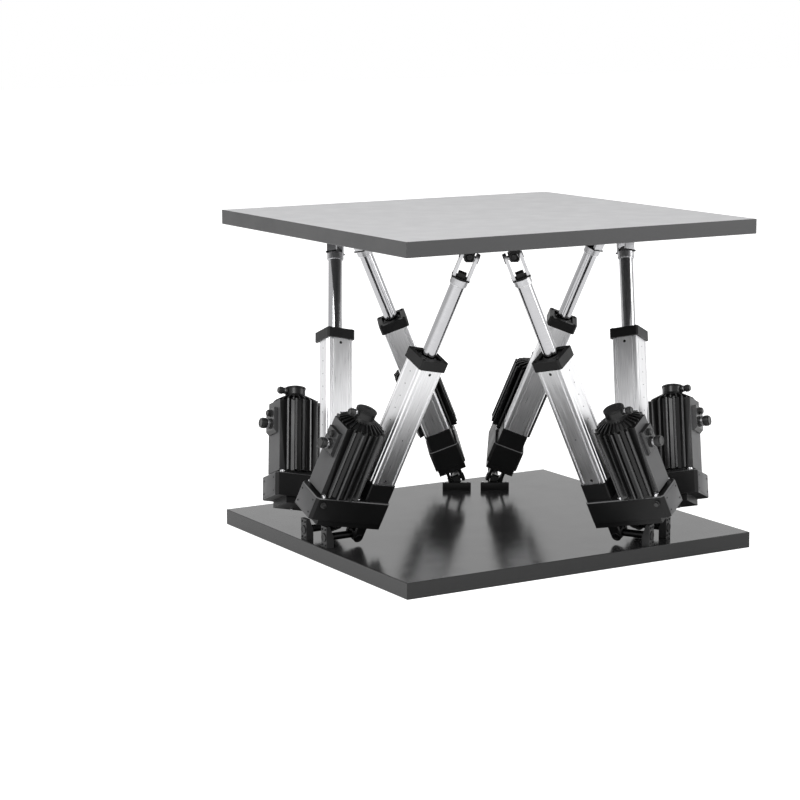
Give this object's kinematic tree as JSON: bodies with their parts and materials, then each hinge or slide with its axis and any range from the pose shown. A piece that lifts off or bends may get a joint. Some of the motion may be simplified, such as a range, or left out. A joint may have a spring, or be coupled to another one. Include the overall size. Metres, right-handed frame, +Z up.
{
  "type": "six-axis motion platform",
  "caption": "Motion platform: a top plate carried over a base plate by electric cylinders with parallel finned motors on universal joints.",
  "frame": {"origin": "centre of the base plate's underside", "axes": "+Z up, +X along the long side of the plates and towards the side with the two leg pairs, +Y across them"},
  "size_m": [1.2847, 1.3502, 0.99],
  "materials": {
    "base_plate_paint": "glossy",
    "top_plate_paint": "satin",
    "bracket_paint": "satin",
    "joint_steel": "blackened",
    "housing_paint": "satin",
    "motor_paint": "satin",
    "tube_metal": "satin anodised",
    "cap_paint": "satin",
    "screw_steel": "ground",
    "rod_chrome": "polished",
    "fork_metal": "satin"
  },
  "bodies": {
    "base": {"base_plate": "base_plate_paint", "lower_pedestals": "bracket_paint"},
    "platform": {"top_plate": "top_plate_paint", "upper_brackets": "bracket_paint"},
    "lower_cross_1": {"lower_cross_1": "joint_steel"},
    "actuator_1": {"belt_housing_1": "housing_paint", "motor_1": "motor_paint", "tube_1": "tube_metal", "front_cap_1": "cap_paint"},
    "screw_1": {"screw_1": "screw_steel"},
    "rod_1": {"rod_1": "rod_chrome"},
    "fork_1": {"fork_1": "fork_metal"},
    "upper_cross_1": {"upper_cross_1": "joint_steel"},
    "lower_cross_2": {"lower_cross_2": "joint_steel"},
    "actuator_2": {"belt_housing_2": "housing_paint", "motor_2": "motor_paint", "tube_2": "tube_metal", "front_cap_2": "cap_paint"},
    "screw_2": {"screw_2": "screw_steel"},
    "rod_2": {"rod_2": "rod_chrome"},
    "fork_2": {"fork_2": "fork_metal"},
    "upper_cross_2": {"upper_cross_2": "joint_steel"},
    "lower_cross_3": {"lower_cross_3": "joint_steel"},
    "actuator_3": {"belt_housing_3": "housing_paint", "motor_3": "motor_paint", "tube_3": "tube_metal", "front_cap_3": "cap_paint"},
    "screw_3": {"screw_3": "screw_steel"},
    "rod_3": {"rod_3": "rod_chrome"},
    "fork_3": {"fork_3": "fork_metal"},
    "upper_cross_3": {"upper_cross_3": "joint_steel"},
    "lower_cross_4": {"lower_cross_4": "joint_steel"},
    "actuator_4": {"belt_housing_4": "housing_paint", "motor_4": "motor_paint", "tube_4": "tube_metal", "front_cap_4": "cap_paint"},
    "screw_4": {"screw_4": "screw_steel"},
    "rod_4": {"rod_4": "rod_chrome"},
    "fork_4": {"fork_4": "fork_metal"},
    "upper_cross_4": {"upper_cross_4": "joint_steel"},
    "lower_cross_5": {"lower_cross_5": "joint_steel"},
    "actuator_5": {"belt_housing_5": "housing_paint", "motor_5": "motor_paint", "tube_5": "tube_metal", "front_cap_5": "cap_paint"},
    "screw_5": {"screw_5": "screw_steel"},
    "rod_5": {"rod_5": "rod_chrome"},
    "fork_5": {"fork_5": "fork_metal"},
    "upper_cross_5": {"upper_cross_5": "joint_steel"},
    "lower_cross_6": {"lower_cross_6": "joint_steel"},
    "actuator_6": {"belt_housing_6": "housing_paint", "motor_6": "motor_paint", "tube_6": "tube_metal", "front_cap_6": "cap_paint"},
    "screw_6": {"screw_6": "screw_steel"},
    "rod_6": {"rod_6": "rod_chrome"},
    "fork_6": {"fork_6": "fork_metal"},
    "upper_cross_6": {"upper_cross_6": "joint_steel"}
  },
  "joints": [
    {"name": "heave", "type": "slide", "parent": "base", "child": "platform", "axis": [0, 0, 1], "range_m": [-0.12, 0.12]},
    {"name": "lower_tilt_1", "type": "hinge", "parent": "base", "child": "lower_cross_1", "pos_m": [0.29719, 0.39075, 0.078], "axis": [0.5, 0.866, 0], "range_deg": [-3.7, 3.7]},
    {"name": "lower_swing_1", "type": "hinge", "parent": "lower_cross_1", "child": "actuator_1", "pos_m": [0.29719, 0.39075, 0.078], "axis": [-0.808, 0.4665, 0.3599], "range_deg": [-2.1, 2.1]},
    {"name": "stroke_1", "type": "slide", "parent": "actuator_1", "child": "rod_1", "axis": [0.1996, -0.3581, 0.9121], "range_m": [-0.12, 0.12]},
    {"name": "screw_turn_1", "type": "hinge", "parent": "actuator_1", "child": "screw_1", "pos_m": [0.29719, 0.39075, 0.078], "axis": [0.1996, -0.3581, 0.9121], "range_deg": [-1231.6, 1231.6]},
    {"name": "rod_swivel_1", "type": "hinge", "parent": "rod_1", "child": "fork_1", "pos_m": [0.481, 0.061, 0.918], "axis": [0.1996, -0.3581, 0.9121], "range_deg": [-1.7, 1.7]},
    {"name": "upper_swing_1", "type": "hinge", "parent": "fork_1", "child": "upper_cross_1", "pos_m": [0.481, 0.061, 0.918], "axis": [0, 0.9308, 0.3654], "range_deg": [-2, 2]},
    {"name": "lower_tilt_2", "type": "hinge", "parent": "base", "child": "lower_cross_2", "pos_m": [0.18981, 0.45275, 0.078], "axis": [0.5, 0.866, 0], "range_deg": [-3.7, 3.7]},
    {"name": "lower_swing_2", "type": "hinge", "parent": "lower_cross_2", "child": "actuator_2", "pos_m": [0.18981, 0.45275, 0.078], "axis": [-0.808, 0.4665, -0.3599], "range_deg": [-2.1, 2.1]},
    {"name": "stroke_2", "type": "slide", "parent": "actuator_2", "child": "rod_2", "axis": [-0.4099, -0.0062, 0.9121], "range_m": [-0.12, 0.12]},
    {"name": "screw_turn_2", "type": "hinge", "parent": "actuator_2", "child": "screw_2", "pos_m": [0.18981, 0.45275, 0.078], "axis": [-0.4099, -0.0062, 0.9121], "range_deg": [-1231.6, 1231.6]},
    {"name": "rod_swivel_2", "type": "hinge", "parent": "rod_2", "child": "fork_2", "pos_m": [-0.18767, 0.44706, 0.918], "axis": [-0.4099, -0.0062, 0.9121], "range_deg": [-1.7, 1.7]},
    {"name": "upper_swing_2", "type": "hinge", "parent": "fork_2", "child": "upper_cross_2", "pos_m": [-0.18767, 0.44706, 0.918], "axis": [-0.8061, -0.4654, -0.3654], "range_deg": [-2, 2]},
    {"name": "lower_tilt_3", "type": "hinge", "parent": "base", "child": "lower_cross_3", "pos_m": [-0.487, 0.062, 0.078], "axis": [-1, 0, 0], "range_deg": [-3.7, 3.7]},
    {"name": "lower_swing_3", "type": "hinge", "parent": "lower_cross_3", "child": "actuator_3", "pos_m": [-0.487, 0.062, 0.078], "axis": [0, -0.933, 0.3599], "range_deg": [-2.1, 2.1]},
    {"name": "stroke_3", "type": "slide", "parent": "actuator_3", "child": "rod_3", "axis": [0.2103, 0.3519, 0.9121], "range_m": [-0.12, 0.12]},
    {"name": "screw_turn_3", "type": "hinge", "parent": "actuator_3", "child": "screw_3", "pos_m": [-0.487, 0.062, 0.078], "axis": [0.2103, 0.3519, 0.9121], "range_deg": [-1231.6, 1231.6]},
    {"name": "rod_swivel_3", "type": "hinge", "parent": "rod_3", "child": "fork_3", "pos_m": [-0.29333, 0.38606, 0.918], "axis": [0.2103, 0.3519, 0.9121], "range_deg": [-1.7, 1.7]},
    {"name": "upper_swing_3", "type": "hinge", "parent": "fork_3", "child": "upper_cross_3", "pos_m": [-0.29333, 0.38606, 0.918], "axis": [-0.8061, -0.4654, 0.3654], "range_deg": [-2, 2]},
    {"name": "lower_tilt_4", "type": "hinge", "parent": "base", "child": "lower_cross_4", "pos_m": [-0.487, -0.062, 0.078], "axis": [-1, 0, 0], "range_deg": [-3.7, 3.7]},
    {"name": "lower_swing_4", "type": "hinge", "parent": "lower_cross_4", "child": "actuator_4", "pos_m": [-0.487, -0.062, 0.078], "axis": [0, -0.933, -0.3599], "range_deg": [-2.1, 2.1]},
    {"name": "stroke_4", "type": "slide", "parent": "actuator_4", "child": "rod_4", "axis": [0.2103, -0.3519, 0.9121], "range_m": [-0.12, 0.12]},
    {"name": "screw_turn_4", "type": "hinge", "parent": "actuator_4", "child": "screw_4", "pos_m": [-0.487, -0.062, 0.078], "axis": [0.2103, -0.3519, 0.9121], "range_deg": [-1231.6, 1231.6]},
    {"name": "rod_swivel_4", "type": "hinge", "parent": "rod_4", "child": "fork_4", "pos_m": [-0.29333, -0.38606, 0.918], "axis": [0.2103, -0.3519, 0.9121], "range_deg": [-1.7, 1.7]},
    {"name": "upper_swing_4", "type": "hinge", "parent": "fork_4", "child": "upper_cross_4", "pos_m": [-0.29333, -0.38606, 0.918], "axis": [0.8061, -0.4654, -0.3654], "range_deg": [-2, 2]},
    {"name": "lower_tilt_5", "type": "hinge", "parent": "base", "child": "lower_cross_5", "pos_m": [0.18981, -0.45275, 0.078], "axis": [0.5, -0.866, 0], "range_deg": [-3.7, 3.7]},
    {"name": "lower_swing_5", "type": "hinge", "parent": "lower_cross_5", "child": "actuator_5", "pos_m": [0.18981, -0.45275, 0.078], "axis": [0.808, 0.4665, 0.3599], "range_deg": [-2.1, 2.1]},
    {"name": "stroke_5", "type": "slide", "parent": "actuator_5", "child": "rod_5", "axis": [-0.4099, 0.0062, 0.9121], "range_m": [-0.12, 0.12]},
    {"name": "screw_turn_5", "type": "hinge", "parent": "actuator_5", "child": "screw_5", "pos_m": [0.18981, -0.45275, 0.078], "axis": [-0.4099, 0.0062, 0.9121], "range_deg": [-1231.6, 1231.6]},
    {"name": "rod_swivel_5", "type": "hinge", "parent": "rod_5", "child": "fork_5", "pos_m": [-0.18767, -0.44706, 0.918], "axis": [-0.4099, 0.0062, 0.9121], "range_deg": [-1.7, 1.7]},
    {"name": "upper_swing_5", "type": "hinge", "parent": "fork_5", "child": "upper_cross_5", "pos_m": [-0.18767, -0.44706, 0.918], "axis": [0.8061, -0.4654, 0.3654], "range_deg": [-2, 2]},
    {"name": "lower_tilt_6", "type": "hinge", "parent": "base", "child": "lower_cross_6", "pos_m": [0.29719, -0.39075, 0.078], "axis": [0.5, -0.866, 0], "range_deg": [-3.7, 3.7]},
    {"name": "lower_swing_6", "type": "hinge", "parent": "lower_cross_6", "child": "actuator_6", "pos_m": [0.29719, -0.39075, 0.078], "axis": [0.808, 0.4665, -0.3599], "range_deg": [-2.1, 2.1]},
    {"name": "stroke_6", "type": "slide", "parent": "actuator_6", "child": "rod_6", "axis": [0.1996, 0.3581, 0.9121], "range_m": [-0.12, 0.12]},
    {"name": "screw_turn_6", "type": "hinge", "parent": "actuator_6", "child": "screw_6", "pos_m": [0.29719, -0.39075, 0.078], "axis": [0.1996, 0.3581, 0.9121], "range_deg": [-1231.6, 1231.6]},
    {"name": "rod_swivel_6", "type": "hinge", "parent": "rod_6", "child": "fork_6", "pos_m": [0.481, -0.061, 0.918], "axis": [0.1996, 0.3581, 0.9121], "range_deg": [-1.7, 1.7]},
    {"name": "upper_swing_6", "type": "hinge", "parent": "fork_6", "child": "upper_cross_6", "pos_m": [0.481, -0.061, 0.918], "axis": [0, 0.9308, -0.3654], "range_deg": [-2, 2]}
  ],
  "couplings": [
    {"joint": "lower_tilt_1", "follows": "heave", "rad_per_m": -0.39977},
    {"joint": "lower_swing_1", "follows": "heave", "rad_per_m": 0.21305},
    {"joint": "stroke_1", "follows": "heave", "ratio": 0.91212},
    {"joint": "screw_turn_1", "follows": "heave", "rad_per_m": 143.27},
    {"joint": "rod_swivel_1", "follows": "heave", "rad_per_m": -0.16489},
    {"joint": "upper_swing_1", "follows": "heave", "rad_per_m": 0.20173},
    {"joint": "lower_tilt_2", "follows": "heave", "rad_per_m": 0.39977},
    {"joint": "lower_swing_2", "follows": "heave", "rad_per_m": 0.21305},
    {"joint": "stroke_2", "follows": "heave", "ratio": 0.91212},
    {"joint": "screw_turn_2", "follows": "heave", "rad_per_m": 143.27},
    {"joint": "rod_swivel_2", "follows": "heave", "rad_per_m": 0.16489},
    {"joint": "upper_swing_2", "follows": "heave", "rad_per_m": 0.20173},
    {"joint": "lower_tilt_3", "follows": "heave", "rad_per_m": -0.39977},
    {"joint": "lower_swing_3", "follows": "heave", "rad_per_m": 0.21305},
    {"joint": "stroke_3", "follows": "heave", "ratio": 0.91212},
    {"joint": "screw_turn_3", "follows": "heave", "rad_per_m": 143.27},
    {"joint": "rod_swivel_3", "follows": "heave", "rad_per_m": -0.16489},
    {"joint": "upper_swing_3", "follows": "heave", "rad_per_m": 0.20173},
    {"joint": "lower_tilt_4", "follows": "heave", "rad_per_m": 0.39977},
    {"joint": "lower_swing_4", "follows": "heave", "rad_per_m": 0.21305},
    {"joint": "stroke_4", "follows": "heave", "ratio": 0.91212},
    {"joint": "screw_turn_4", "follows": "heave", "rad_per_m": 143.27},
    {"joint": "rod_swivel_4", "follows": "heave", "rad_per_m": 0.16489},
    {"joint": "upper_swing_4", "follows": "heave", "rad_per_m": 0.20173},
    {"joint": "lower_tilt_5", "follows": "heave", "rad_per_m": -0.39977},
    {"joint": "lower_swing_5", "follows": "heave", "rad_per_m": 0.21305},
    {"joint": "stroke_5", "follows": "heave", "ratio": 0.91212},
    {"joint": "screw_turn_5", "follows": "heave", "rad_per_m": 143.27},
    {"joint": "rod_swivel_5", "follows": "heave", "rad_per_m": -0.16489},
    {"joint": "upper_swing_5", "follows": "heave", "rad_per_m": 0.20173},
    {"joint": "lower_tilt_6", "follows": "heave", "rad_per_m": 0.39977},
    {"joint": "lower_swing_6", "follows": "heave", "rad_per_m": 0.21305},
    {"joint": "stroke_6", "follows": "heave", "ratio": 0.91212},
    {"joint": "screw_turn_6", "follows": "heave", "rad_per_m": 143.27},
    {"joint": "rod_swivel_6", "follows": "heave", "rad_per_m": 0.16489},
    {"joint": "upper_swing_6", "follows": "heave", "rad_per_m": 0.20173}
  ]
}
